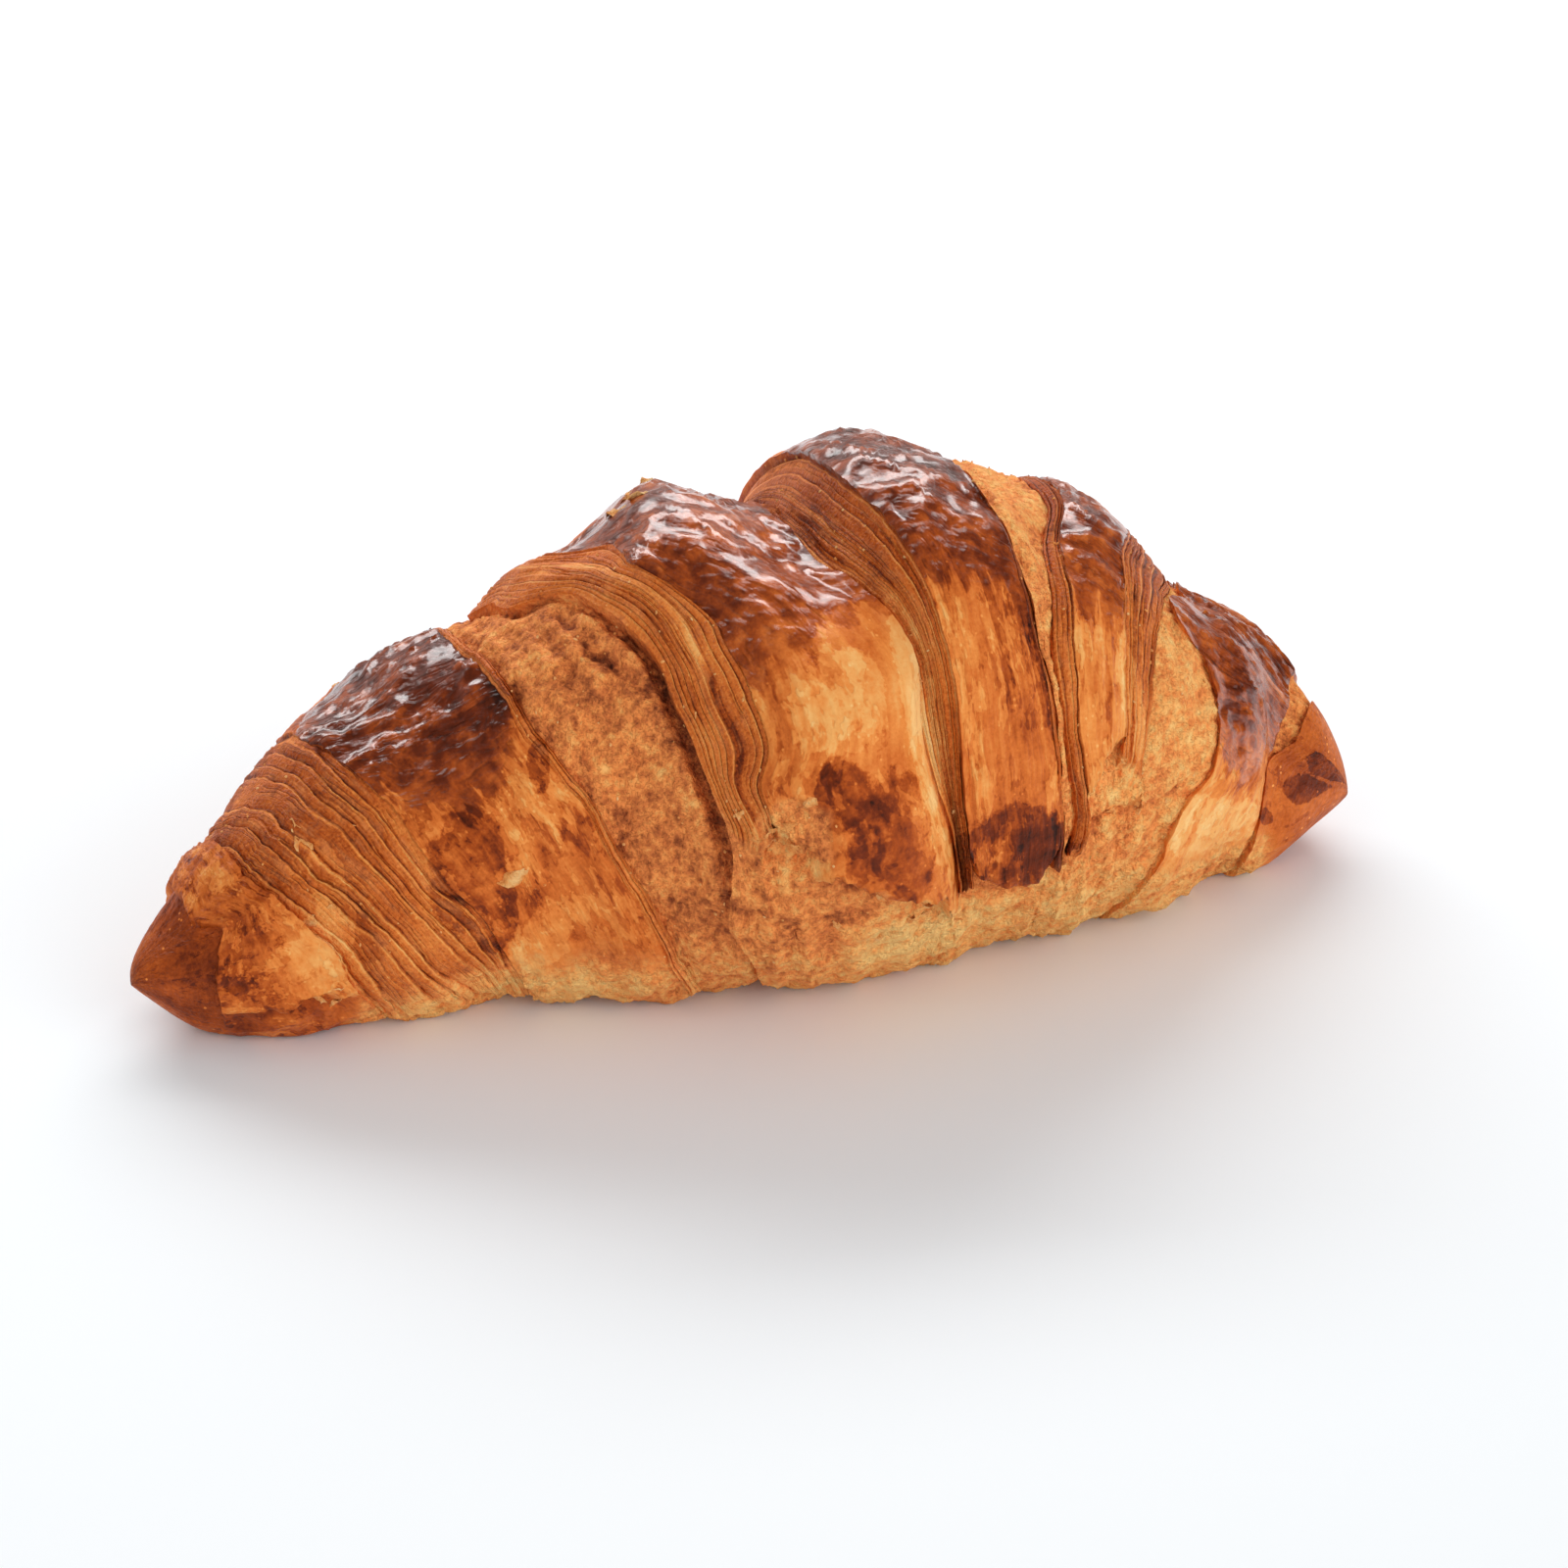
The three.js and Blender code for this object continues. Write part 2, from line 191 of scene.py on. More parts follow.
def curve(at, values):
    """A smooth curve through values at the stations, read along the roll."""
    places = STATIONS[:, 0]
    at = np.clip(at, places[0], places[-1])
    i = np.clip(np.searchsorted(places, at, side="right") - 1, 0, len(places) - 2)
    slope = np.empty(len(places))
    slope[1:-1] = (values[2:] - values[:-2]) / (places[2:] - places[:-2])
    slope[0] = (values[1] - values[0]) / (places[1] - places[0])
    slope[-1] = (values[-1] - values[-2]) / (places[-1] - places[-2])
    width = places[i + 1] - places[i]
    t = (at - places[i]) / width
    rise = t * t * (3 - 2 * t)
    bend = t * (1 - t) ** 2 * width * slope[i] + t * t * (t - 1) * width * slope[i + 1]
    return values[i] * (1 - rise) + values[i + 1] * rise + bend


def point_on_roll(at, angle, height):
    """Places on the roll, in millimetres, that stand proud by a height."""
    share = np.clip(at / HALF_LENGTH, -1, 1)
    outline = np.maximum(1 - share**2, 0) ** TIP_ROUNDING
    half_width = HALF_WIDTH * outline * curve(at, STATIONS[:, 1])
    half_height = HALF_HEIGHT * outline * curve(at, STATIONS[:, 2])
    lift = np.where(at < 0, LIFT_LEFT, LIFT_RIGHT) * np.abs(share) ** 8
    forward = (half_width + height) * np.cos(angle)
    z = half_height - UNDERSIDE_SINK + lift + (half_height + height) * np.sin(angle)
    eased = (z + UNDERSIDE_EASE) ** 2 / (4 * UNDERSIDE_EASE)
    z = np.where(z < -UNDERSIDE_EASE, 0, np.where(z < UNDERSIDE_EASE, eased, z))
    aside = curve(at, STATIONS[:, 3])
    slope = curve(at + 0.5, STATIONS[:, 3]) - curve(at - 0.5, STATIONS[:, 3])
    turn = 1 / np.sqrt(1 + slope**2)
    x = at + slope * forward * turn - BOX_CENTRE[0]
    return np.stack([x, aside - forward * turn - BOX_CENTRE[1], z], axis=-1)


def around_roll(at, angle, run=30.0):
    """Coordinates for patterns that follow the roll, without a seam around it."""
    return np.stack([at, run * np.cos(angle), run * np.sin(angle)], axis=-1)


def cloud(places, size, seed, octaves=1):
    """Soft noise from about -1 to 1 at places, with lumps of a size."""
    shift = np.array([seed * 17.3, seed * 5.1, seed * 9.7])
    rows = (places / size + shift).reshape(-1, 3).tolist()
    values = [noise.fractal(Vector(row), 0.9, 2.1, octaves) for row in rows]
    return np.array(values).reshape(places.shape[:-1])


def creases(places, size, seed):
    """Zero on the borders between cells, one in their middles."""
    rows = (places / size + seed * 7.7).reshape(-1, 3).tolist()
    cells = (noise.voronoi(Vector(row))[0] for row in rows)
    gap = np.array([cell[1] - cell[0] for cell in cells]).reshape(places.shape[:-1])
    return np.clip(gap / 0.45, 0, 1)


# Rows lie closer together on the front and the top, where the relief is finest.
degrees = np.linspace(-90, 270, 1441)
closeness = 0.42 + 0.58 * smooth(-72, -48, degrees) * (1 - smooth(130, 165, degrees))
travel = np.concatenate([[0], np.cumsum((closeness[1:] + closeness[:-1]) / 2)])
turns = np.interp(np.linspace(0, travel[-1], ROWS, endpoint=False), travel, degrees)
angles = np.radians(turns)
flat_turn = 90 - np.abs(turns - 90)     # 90 on top, 0 level on either side, -90 underneath


def wrap_edge(wrap):
    """The edge of a wrap all round, bowed, and torn a little unevenly."""
    top, front, under, back = wrap["until"]
    middle = (top + front + under + back) / 4
    twist = (front + back - top - under) / 4
    edge = middle + (top - under) / 2 * np.sin(angles) + (front - back) / 2 * np.cos(angles)
    edge = edge + twist * np.cos(2 * angles)
    for amount, middle_turn, half_turn in wrap.get("bows", []):
        edge = edge + amount * (1 - smooth(0.35, 1.0, np.abs(turns - middle_turn) / half_turn))
    places = around_roll(edge, angles)
    ragged = 0.55 * cloud(places, 7.0, 1) + 0.22 * cloud(places * (0.3, 1, 1), 1.6, 2)
    return edge + ragged * smooth(0, 12, HALF_LENGTH - np.abs(edge))


def front_share(wrap, share, at):
    """One where the wrap is there, and zero past its torn end on the front."""
    reach = wrap.get("reach")
    if reach is None:
        return np.ones_like(at)
    reach = reach + wrap.get("slant", 0) * (share - 0.5) + wrap.get("rounded", 0) * (2 * share - 1) ** 4
    places = around_roll(at, np.broadcast_to(angles, at.shape))
    torn = 5 * cloud(places * (1, 0.2, 0.2), 7.0, 3) + 5 * cloud(places * (1, 0.4, 0.4), 3.0, 27, 3)
    return smooth(reach - 2.0, reach + 2.0, turns + torn * wrap.get("frayed", 1))


under_share = 0.3 + 0.7 * smooth(-80, -35, turns) * (1 - smooth(215, 255, turns))


def lumps(at, angle):
    return (0.45 * np.sin(at * 0.21 + 2 * angle + 0.6) + 0.4 * np.sin(at * 0.13 - 3 * angle + 2.1)
            + 0.3 * np.sin(at * 0.37 + 4 * angle + 4))


def crags(at, angle):
    across = np.sin(at * 0.62 + 1.4 * np.sin(at * 0.19) + 4 * angle + 0.5)
    along = np.sin(at * 0.35 - 6 * angle + 1.2 * np.sin(3 * angle))
    return CRAG_DEPTH * (0.4 - np.abs(across * along))


# Every column of the mesh: its wrap, its share of that wrap's width, its places along the roll, and
# whether it is the wrap's first.
columns = []
start = np.full(ROWS, -HALF_LENGTH)
for index, wrap in enumerate(WRAPS):
    edge = wrap_edge(wrap) if index < len(WRAPS) - 1 else np.full(ROWS, HALF_LENGTH)
    edge = np.maximum(edge, start + LEAST_WRAP)
    for k in range(wrap["columns"] + 1):
        t = k / wrap["columns"]
        share = t - 0.55 * math.sin(2 * math.pi * t) / (2 * math.pi)
        if index == 0:
            share = t * t
        if index == len(WRAPS) - 1:
            share = 1 - (1 - t) ** 2
        columns.append((index, share, start + (edge - start) * share, k == 0))
    start = edge

at = np.array([column[2] for column in columns])
share = np.array([column[1] for column in columns])[:, None] + np.zeros(ROWS)
angle = np.zeros_like(at) + angles
turn = np.zeros_like(at) + turns
level = np.zeros_like(at) + flat_turn
which = np.array([column[0] for column in columns])


def of_wraps(key, default=0.0):
    return np.array([WRAPS[i].get(key, default) for i in which])[:, None] + np.zeros(ROWS)


kinds = np.array([WRAPS[i]["kind"] for i in which])
is_leaves = (kinds == "leaves")[:, None] * np.ones(ROWS)
is_skin = (kinds == "skin")[:, None] * np.ones(ROWS)
is_split = (kinds == "split")[:, None] * np.ones(ROWS)
is_crust = (kinds == "crust")[:, None] * np.ones(ROWS)

# A coordinate that follows the wraps' edges, for leaves and streaks, with no seam around the roll.
middles = np.array([-HALF_LENGTH] + [np.mean(wrap["until"]) for wrap in WRAPS])
followed = middles[which][:, None] + share * (middles[which + 1] - middles[which])[:, None]
grain = around_roll(followed, angle)
body = around_roll(at, angle)

there = np.array([front_share(WRAPS[i], columns[row][1], at[row]) for row, i in enumerate(which)])
proud = np.array([WRAPS[i]["stand"] for i in which])
height = proud[:, :1] + (proud[:, 1:] - proud[:, :1]) * share + of_wraps("crown") * np.sin(np.pi * share)

# Leaves of the cut edges, unequal in width; each one is a little higher or lower, and they wander.
uneven = share + 0.08 * np.sin(2 * np.pi * 1.3 * share + 2.4 * which[:, None])
uneven = uneven + 0.02 * np.sin(2 * np.pi * 3.1 * share + 5.1 * which[:, None])
leaf_place = uneven * of_wraps("leaves") + is_leaves * 0.3 * cloud(grain * (0.5, 0.35, 0.35), 6.0, 4, 2)
leaf_number = np.floor(leaf_place)
leaf_part = leaf_place - leaf_number
leaf_wave = np.abs(np.sin(np.pi * leaf_place))
leaf_lift = cloud(np.stack([leaf_number * 3.1 + which[:, None] * 7, body[..., 1] * 0.06,
                            body[..., 2] * 0.06], axis=-1), 1.0, 5)
leaf_depth = of_wraps("depth", LEAF_DEPTH) * (0.8 + 0.5 * cloud(grain * (0.4, 1, 1), 12.0, 23))
leaf_height = leaf_depth * (leaf_wave**0.55 - 0.5) + 0.36 * leaf_lift * leaf_wave
leaf_height = leaf_height + 0.25 * (leaf_part - 0.5)
height = height + is_leaves * leaf_height

# The seam where burst dough sinks beside the third cut edge.
sunk = (which == LEFT_SPLIT)[:, None] * smooth(0.84, 0.97, share)
sunk = sunk * smooth(-6, 6, turn) * (1 - smooth(60, 85, turn))
height = height - SEAM_DEPTH * sunk
beside_tongue = (which == TONGUE_SIDE)[:, None] * (1 - share) * (1 - smooth(15, 45, turn))
height = height + TONGUE_SIDE_RISE * beside_tongue
height = height * there * under_share

# The two sides of a step reach past each other, so that its edge hangs over.
for row in range(1, len(columns)):
    if columns[row][3]:
        step = height[row] - height[row - 1]
        lean = (np.minimum(np.abs(step) * STEP_OVERHANG, MOST_OVERHANG) - STEP_RUN) / 2
        at[row - 1] = at[row - 1] + lean
        at[row] = at[row] - lean

# Finish of every place: glaze on the tops, open crumb where the dough burst or tore.
glaze_stop = np.interp(at, GLAZE_LINE[:, 0], GLAZE_LINE[:, 1])
drips = 7 * cloud(grain * (1, 0.25, 0.25), 3.0, 24, 2)
glaze_wander = 5 * cloud(body * (1, 0.5, 0.5), 9.0, 6, 3) + drips
above_line = level - glaze_stop + glaze_wander
glaze = is_skin * there * smooth(-6, 10, above_line)
drip = is_skin * there * smooth(-26, 12, above_line)
on_left_tip = 1 - smooth(-63, -57, at)
open_crumb = np.maximum(is_split, (1 - there) * (1 - on_left_tip))
belly = smooth(-12, -34, level + 8 * cloud(body, 14.0, 7, 2))
belly = belly * smooth(-62, -50, at) * (1 - smooth(70, 78, at))
open_crumb = np.maximum(open_crumb, 0.85 * belly)


def patch(spot, near, far):
    """One inside an oval patch and zero outside it, between two shares of its size."""
    distance = np.hypot((at - spot[0]) / spot[2], (turn - spot[1]) / spot[3])
    return 1 - smooth(near, far, distance)


crumbled = patch(CRUMBLY_PATCH, 0.5, 1.0 + 0.4 * cloud(body, 2.5, 25, 3))
open_crumb = np.maximum(open_crumb, crumbled)
rough = np.maximum(open_crumb, 0.25 * is_crust)

# Relief: blisters under the glaze, streaks in the skins, torn fibres in the burst dough.
warp = body + 2.2 * np.stack([cloud(body, 7.0, 8), cloud(body, 7.0, 9), cloud(body, 7.0, 10)], axis=-1)
net = creases(warp * (1.0, 0.42, 0.42), BLISTER_SIZE, 11)
along_wrinkle = 0.30 * (0.84 * warp[..., 0] + 0.54 * warp[..., 1])
across_wrinkle = 0.84 * warp[..., 1] - 0.54 * warp[..., 0]
slanting = np.stack([along_wrinkle, across_wrinkle, 0.6 * warp[..., 2]], axis=-1)
wrinkle = cloud(slanting, 3.4, 12, 2)
wrinkle_ridge = 1 - smooth(0.0, 0.30, np.abs(wrinkle))
blister = BLISTER_RIDGE * (1 - smooth(0.0, 0.55, net)) * (0.6 + 0.5 * cloud(body, 6.0, 26))
blister = blister + WRINKLE_DEPTH * (wrinkle_ridge - 0.4) + 0.40 * cloud(body, 6.5, 13, 2)
height = height + glaze * blister
streak = cloud(grain * (1, 0.16, 0.16), 1.1, 14, 2)
height = height + is_skin * there * (1 - glaze) * (0.26 * streak + 0.30 * cloud(body, 3.5, 15, 3))
fluff = cloud(body, 3.6, 16, 4)
pits = creases(body + 0.8 * fluff[..., None], 2.6, 17)
height = height + rough * (FLUFF_DEPTH * fluff - 0.35 * (1 - smooth(0, 0.5, pits)))
height = height + is_crust * 0.10 * cloud(body, 1.4, 18, 2)
height = height + is_leaves * there * (0.12 * cloud(grain * (1, 0.3, 0.3), 0.9, 19, 2))
height = height + BUBBLE_RISE * patch(BUBBLE, 0.55, 1.0) - BUBBLE_HOLLOW * patch(BUBBLE, 0.1, 0.8)
height = height - CRUMBLE_DEPTH * crumbled

creased = np.zeros_like(at)
for first_at, first_turn, last_at, last_turn, half_width, depth in CREASES:
    run = np.array([last_at - first_at, (last_turn - first_turn) * 0.55])
    off_at = at - first_at
    off_turn = (turn - first_turn) * 0.55
    along = np.clip((off_at * run[0] + off_turn * run[1]) / (run @ run), 0, 1)
    away = np.hypot(off_at - along * run[0], off_turn - along * run[1])
    away = away + 0.35 * cloud(body, 2.2, 29)
    creased = np.maximum(creased, depth * np.exp(-(away / half_width) ** 2))
height = height - creased * np.maximum(rough, 0.5)
coarse = np.maximum(is_split * 0.55, np.maximum(1 - there, belly) * 0.5)
height = height + lumps(at, angle) + crags(at, angle) * coarse
for swelling in SWELLINGS:
    height = height + swelling[4] * patch(swelling, 0.1, 1.0)
height = height * smooth(0, BARE_TIP, HALF_LENGTH - np.abs(at))

# How far each place is baked, from pale crumb at 0 to burnt at 1, with painted shade in the creases, the
# pits, the sunk seam and the grooves between leaves, and painted highlights on the glaze's wrinkle
# ridges and the leaves' raised ends.
brown_belly = 0.12 * (1 - smooth(0, 9, at))
bake = of_wraps("bake") * there + (1 - there) * (0.38 + brown_belly + 0.16 * on_left_tip)
bake = bake - 0.7 * is_skin * there * (1 - there)
bake = bake * (1 - 0.6 * belly) + 0.6 * belly * (0.20 + brown_belly)
# The glaze is darker overall, and lighter on its raised wrinkle ridges: a painted highlight.
bake = bake + glaze * (0.12 - 0.10 * wrinkle_ridge)
# Darker along the creases: painted shade.
bake = bake + 0.22 * np.clip(creased, 0, 1) * np.maximum(rough, 0.5)
bake = bake + 0.08 * smooth(20, 80, level) * is_leaves
# Painted shade darkens the groove between leaves and a painted highlight lightens each leaf's raised
# end; lifted leaves are a little darker.
leaf_tone_and_shade = 0.16 * (1 - smooth(0.0, 0.5, leaf_wave)) - 0.12 * smooth(0.66, 0.84, leaf_part)
leaf_tone_and_shade = leaf_tone_and_shade + 0.11 * leaf_lift
bake = bake + is_leaves * there * leaf_tone_and_shade
# Burst dough is darker in its pits, painted shade, and paler on its raised fluff, a painted highlight.
bake = bake + open_crumb * (-0.10 * fluff + 0.10 * (1 - smooth(0, 0.4, pits)))
# Painted shade in the seam where the left split sinks.
bake = bake + SEAM_SHADE * sunk
bake = bake + 0.08 * cloud(body, 11.0, 21, 3)
for spot in BAKE_SPOTS:
    bake = bake + spot[4] * patch(spot, 0.3, 1.2)
dark_patch = np.max([patch(spot, 0.3, 1.5) for spot in DARK_PATCHES], axis=0)
pale_patch = np.max([patch(spot, 0.3, 1.5) for spot in PALE_PATCHES], axis=0)

# Where loose crumbs lie and where flakes stand up.
crumbly = np.clip(0.5 * is_leaves * there + 0.7 * open_crumb + 2.0 * crumbled, 0, 1.5)
crumbly = crumbly * smooth(-40, 0, level)
flaky = np.max([spot[4] * patch(spot, 0.4, 1.2) for spot in FLAKY_PLACES], axis=0)

points = point_on_roll(at, angle, height)
points[0] = points[0].mean(axis=0)
points[-1] = points[-1].mean(axis=0)

# One closed mesh: a point at each tip, quads between the rings, and triangles round the tips.
inner = len(columns) - 2
vertices = np.concatenate([points[:1, 0], points[1:-1].reshape(-1, 3), points[-1:, 0]]) / 1000
ring = 1 + np.arange(inner)[:, None] * ROWS + np.arange(ROWS)
after = np.roll(ring, -1, axis=1)
quads = np.stack([ring[:-1], after[:-1], after[1:], ring[1:]], axis=-1).reshape(-1, 4)
left_fan = np.stack([np.zeros(ROWS, int), after[0], ring[0]], axis=-1)
right_fan = np.stack([np.full(ROWS, len(vertices) - 1), ring[-1], after[-1]], axis=-1)
faces = quads.tolist() + left_fan.tolist() + right_fan.tolist()

dough_mesh = bpy.data.meshes.new("croissant_dough")
dough_mesh.from_pydata(vertices.tolist(), [], faces)
for name, field in {"bake": bake, "drip": drip, "open_crumb": open_crumb, "leaves": is_leaves * there,
                    "leaf_place": leaf_place, "dark_patch": dark_patch, "pale_patch": pale_patch,
                    "tip_crust": is_crust, "crumbly": crumbly, "flaky": flaky}.items():
    layer = dough_mesh.attributes.new(name, "FLOAT", "POINT")
    layer.data.foreach_set("value", np.concatenate([field[0, :1], field[1:-1].ravel(), field[-1, :1]]))
for name, field in {"grain": grain, "slanting": slanting}.items():
    layer = dough_mesh.attributes.new(name, "FLOAT_VECTOR", "POINT")
    followed_points = np.concatenate([field[0, :1], field[1:-1].reshape(-1, 3), field[-1, :1]]) / 1000
    layer.data.foreach_set("vector", followed_points.ravel())
dough_mesh.shade_smooth()
dough_mesh.set_sharp_from_angle(angle=math.radians(58))
croissant = bpy.data.objects.new("croissant_dough", dough_mesh)
bpy.context.collection.objects.link(croissant)


def tint(red, green, blue):
    """A colour as a screen shows it, from 0 to 255, turned into the renderer's own values."""
    parts = [value / 255 for value in (red, green, blue)]
    return (*[v / 12.92 if v <= 0.04045 else ((v + 0.055) / 1.055) ** 2.4 for v in parts], 1)


class Wire:
    """A number, vector or colour on its way through a finish; sums on it add Math nodes."""

    def __init__(self, tree, socket=None):
        self.tree = tree
        self.socket = socket

    def node(self, kind, settings=(), inputs=(), output=0):
        """Adds one node of any kind, with its settings first and then its inputs."""
        made = self.tree.nodes.new(kind)
        for name, value in dict(settings).items():
            if name == "stops":
                stops = made.color_ramp.elements
                for _ in value[2:]:
                    stops.new(1.0)
                for stop, (place, colour) in zip(stops, value):
                    stop.position = place
                    stop.color = colour
            else:
                setattr(made, name, value)
        for name, value in dict(inputs).items():
            if isinstance(value, Wire):
                self.tree.links.new(value.socket, made.inputs[name])
            else:
                made.inputs[name].default_value = value
        return Wire(self.tree, made.outputs[output] if len(made.outputs) else None)

    def sum(self, operation, *values):
        return self.node("ShaderNodeMath", {"operation": operation}, enumerate(values))

    def __add__(self, other):
        return self.sum("ADD", self, other)

    def __radd__(self, other):
        return self.sum("ADD", other, self)

    def __sub__(self, other):
        return self.sum("SUBTRACT", self, other)

    def __rsub__(self, other):
        return self.sum("SUBTRACT", other, self)

    def __mul__(self, other):
        return self.sum("MULTIPLY", self, other)

    def __rmul__(self, other):
        return self.sum("MULTIPLY", other, self)

    def __abs__(self):
        return self.sum("ABSOLUTE", self)

    def part(self):
        """What a number has after its whole part."""
        return self.sum("FRACT", self)

    def from_edge(self):
        """How far a part from 0 to 1 is from the nearer end."""
        return self.sum("PINGPONG", self, 0.5)

    def between(self, low, high):
        """Rises smoothly from 0 at low to 1 at high."""
        return self.node("ShaderNodeMapRange", {"interpolation_type": "SMOOTHSTEP"},
                         {"Value": self, "From Min": low, "From Max": high})

    def stretched(self, along, across, up):
        return self.node("ShaderNodeVectorMath", {"operation": "MULTIPLY"},
                         {0: self, 1: (along, across, up)})

    def noise(self, size, detail=3.0, roughness=0.55):
        """Noise from about -1 to 1 with lumps of a size in millimetres."""
        value = self.node("ShaderNodeTexNoise", {}, {
            "Vector": self, "Scale": 1000 / size, "Detail": detail, "Roughness": roughness})
        return value * 2 - 1

    def ramp(self, stops):
        return self.node("ShaderNodeValToRGB", {"stops": stops}, {"Fac": self})

    def mixed(self, first, second):
        """The first colour where this is 0, and the second where it is 1."""
        return self.node("ShaderNodeMix", {"data_type": "RGBA"}, {0: self, 6: first, 7: second}, 2)


def new_finish(name):
    """An empty material, cleared of its nodes, and a wire to start its patterns from."""
    finish = bpy.data.materials.new(name)
    finish.use_nodes = True
    finish.node_tree.nodes.clear()
    return finish, Wire(finish.node_tree)


SKIN_BAKE = [
    (0.00, tint(254, 204, 132)), (0.20, tint(248, 178, 100)), (0.36, tint(240, 146, 68)),
    (0.52, tint(216, 112, 42)), (0.66, tint(174, 76, 18)), (0.80, tint(116, 42, 8)),
    (1.00, tint(52, 18, 6)),
]
CRUMB_BAKE = [
    (0.00, tint(255, 206, 128)), (0.25, tint(255, 179, 100)), (0.42, tint(248, 150, 78)),
    (0.58, tint(214, 120, 62)), (0.78, tint(146, 72, 38)), (1.00, tint(76, 34, 20)),
]

baked_dough, wire = new_finish("baked_dough")
place = wire.node("ShaderNodeTexCoord", output=3)
grain_place, slant_place = [wire.node("ShaderNodeAttribute", {"attribute_name": name}, output=1)
                            for name in ("grain", "slanting")]
baked_and_shaded, dripped, crumb, leafy, leaf_at, darker, paler, tip_crust = [
    wire.node("ShaderNodeAttribute", {"attribute_name": name}, output=2)
    for name in ("bake", "drip", "open_crumb", "leaves", "leaf_place", "dark_patch", "pale_patch",
                 "tip_crust")]

blotches = place.noise(9, 3)
mottle = place.noise(2.2, 3, 0.6)
speckled = place.noise(1.1, 2, 0.6)
grit = place.noise(0.45, 1, 0.6)
ragged = place.noise(3.0, 4, 0.68)
streaks = grain_place.stretched(1, 0.13, 0.13).noise(0.9, 2, 0.65)
broad_streaks = grain_place.stretched(1, 0.14, 0.14).noise(2.6, 3, 0.6)
drips = grain_place.stretched(1, 0.16, 0.16).noise(2.0, 3, 0.6)
egg = (dripped + drips * 0.50 + ragged * 0.20).between(0.46, 0.58)
lobes = grain_place.stretched(1, 0.4, 0.4).noise(2.4, 3, 0.62)
amber = (dripped * 0.6 + drips * 0.7 + lobes * 0.55).between(0.12, 0.24)
burnt = (darker + ragged * 0.40 + broad_streaks * 0.15).between(0.44, 0.56) * (1 - egg)
flaked = (paler + ragged * 0.50 + drips * 0.25).between(0.46, 0.54)
dry_skin = (1 - egg) * (1 - crumb) * (1 - leafy)
open_skin = dry_skin * (1 - tip_crust * 0.85)

# Lines of the cut edges: a groove and a raised lip on each leaf, and finer leaves between; painted shade
# darkens the grooves and a painted highlight lightens the lips.
leaf_wander = grain_place.stretched(1, 0.12, 0.12).noise(1.6, 2, 0.6)
leaf_share = (leaf_at + leaf_wander * 0.14).part()
leaf_along = wire.node("ShaderNodeSeparateXYZ", {}, {0: grain_place})
fine_share = (leaf_along * (1000 / FINE_LEAF) + leaf_wander * 1.2).part()
grooves = 1 - leaf_share.from_edge().between(0.0, 0.10)
lips = leaf_share.between(0.72, 0.80) * (1 - leaf_share.between(0.86, 0.92))
bundles = grain_place.stretched(1, 0.22, 0.22).noise(2.4, 2, 0.6).between(-0.12, 0.30)
lips = lips + fine_share.between(0.50, 0.68) * (1 - fine_share.between(0.76, 0.90)) * bundles
fine_lines = (1 - fine_share.from_edge().between(0.04, 0.22)) * (0.25 + bundles * 0.75)
leaf_lines = grain_place.stretched(1, 0.035, 0.035).noise(0.42, 1, 0.65)

# Patterns of the glaze's wrinkles, the crumb's fibres and scales, torn skins, and pale specks.
ridges = 1 - abs(slant_place.noise(1.9, 2, 0.5)).between(0.0, 0.30)
pimples = place.noise(2.0, 1, 0.5)
fibres = place.stretched(1, 1, 0.6).noise(0.8, 2, 0.6)
flaking = place.noise(2.8, 4, 0.68)
scales = flaking.between(-0.17, -0.13) + flaking.between(0.00, 0.04) + flaking.between(0.17, 0.21)
torn = grain_place.stretched(1, 0.45, 0.45).noise(4.6, 4, 0.70)
tears = torn.between(0.06, 0.10) + torn.between(0.24, 0.28)
flecks = grain_place.stretched(1, 0.6, 0.6).noise(1.9, 3, 0.7).between(0.16, 0.24) * dry_skin
speck_cells = place.node("ShaderNodeTexVoronoi", {}, {"Vector": place, "Scale": SPECKS_PER_METRE})
speck_colour = Wire(wire.tree, speck_cells.socket.node.outputs["Color"])
speck_chance = wire.node("ShaderNodeSeparateColor", {}, {0: speck_colour}).between(0.62, 0.66)
specks = (1 - speck_cells.between(0.10, 0.20)) * speck_chance

# The bake attribute holds real baking together with painted shade and painted highlights.
skin_bake_and_shade = baked_and_shaded + blotches * 0.10 + mottle * 0.12 + grit * (0.07 + leafy * 0.08)
streaked = streaks * 0.15 + broad_streaks * 0.17 + amber * 0.17 - lobes * 0.20 - 0.02
skin_bake_and_shade = skin_bake_and_shade + streaked * open_skin
# Glaze: darker with amber pools, and lighter on its raised ridges, a painted highlight.
skin_bake_and_shade = skin_bake_and_shade + egg * (pimples * 0.14 - ridges * 0.05 + lobes * 0.16 + 0.19)
skin_bake_and_shade = skin_bake_and_shade - tears * open_skin * 0.12 + flecks * 0.09
skin_bake_and_shade = skin_bake_and_shade + burnt * (0.19 + mottle * 0.12) - flaked * 0.12 * (1 - egg)
skin_bake_and_shade = skin_bake_and_shade - specks * (0.16 + tip_crust * 0.16) * (1 - egg)
# Painted shade in the leaves' grooves and fine grooves, and a painted highlight on their lips.
skin_bake_and_shade = skin_bake_and_shade + leafy * (grooves * 0.12 - lips * 0.13 + fine_lines * 0.09 + leaf_lines * 0.12)
crumb_bake_and_shade = baked_and_shaded + blotches * 0.14 + mottle * 0.14 + speckled * 0.28 + fibres * 0.16 - 0.09
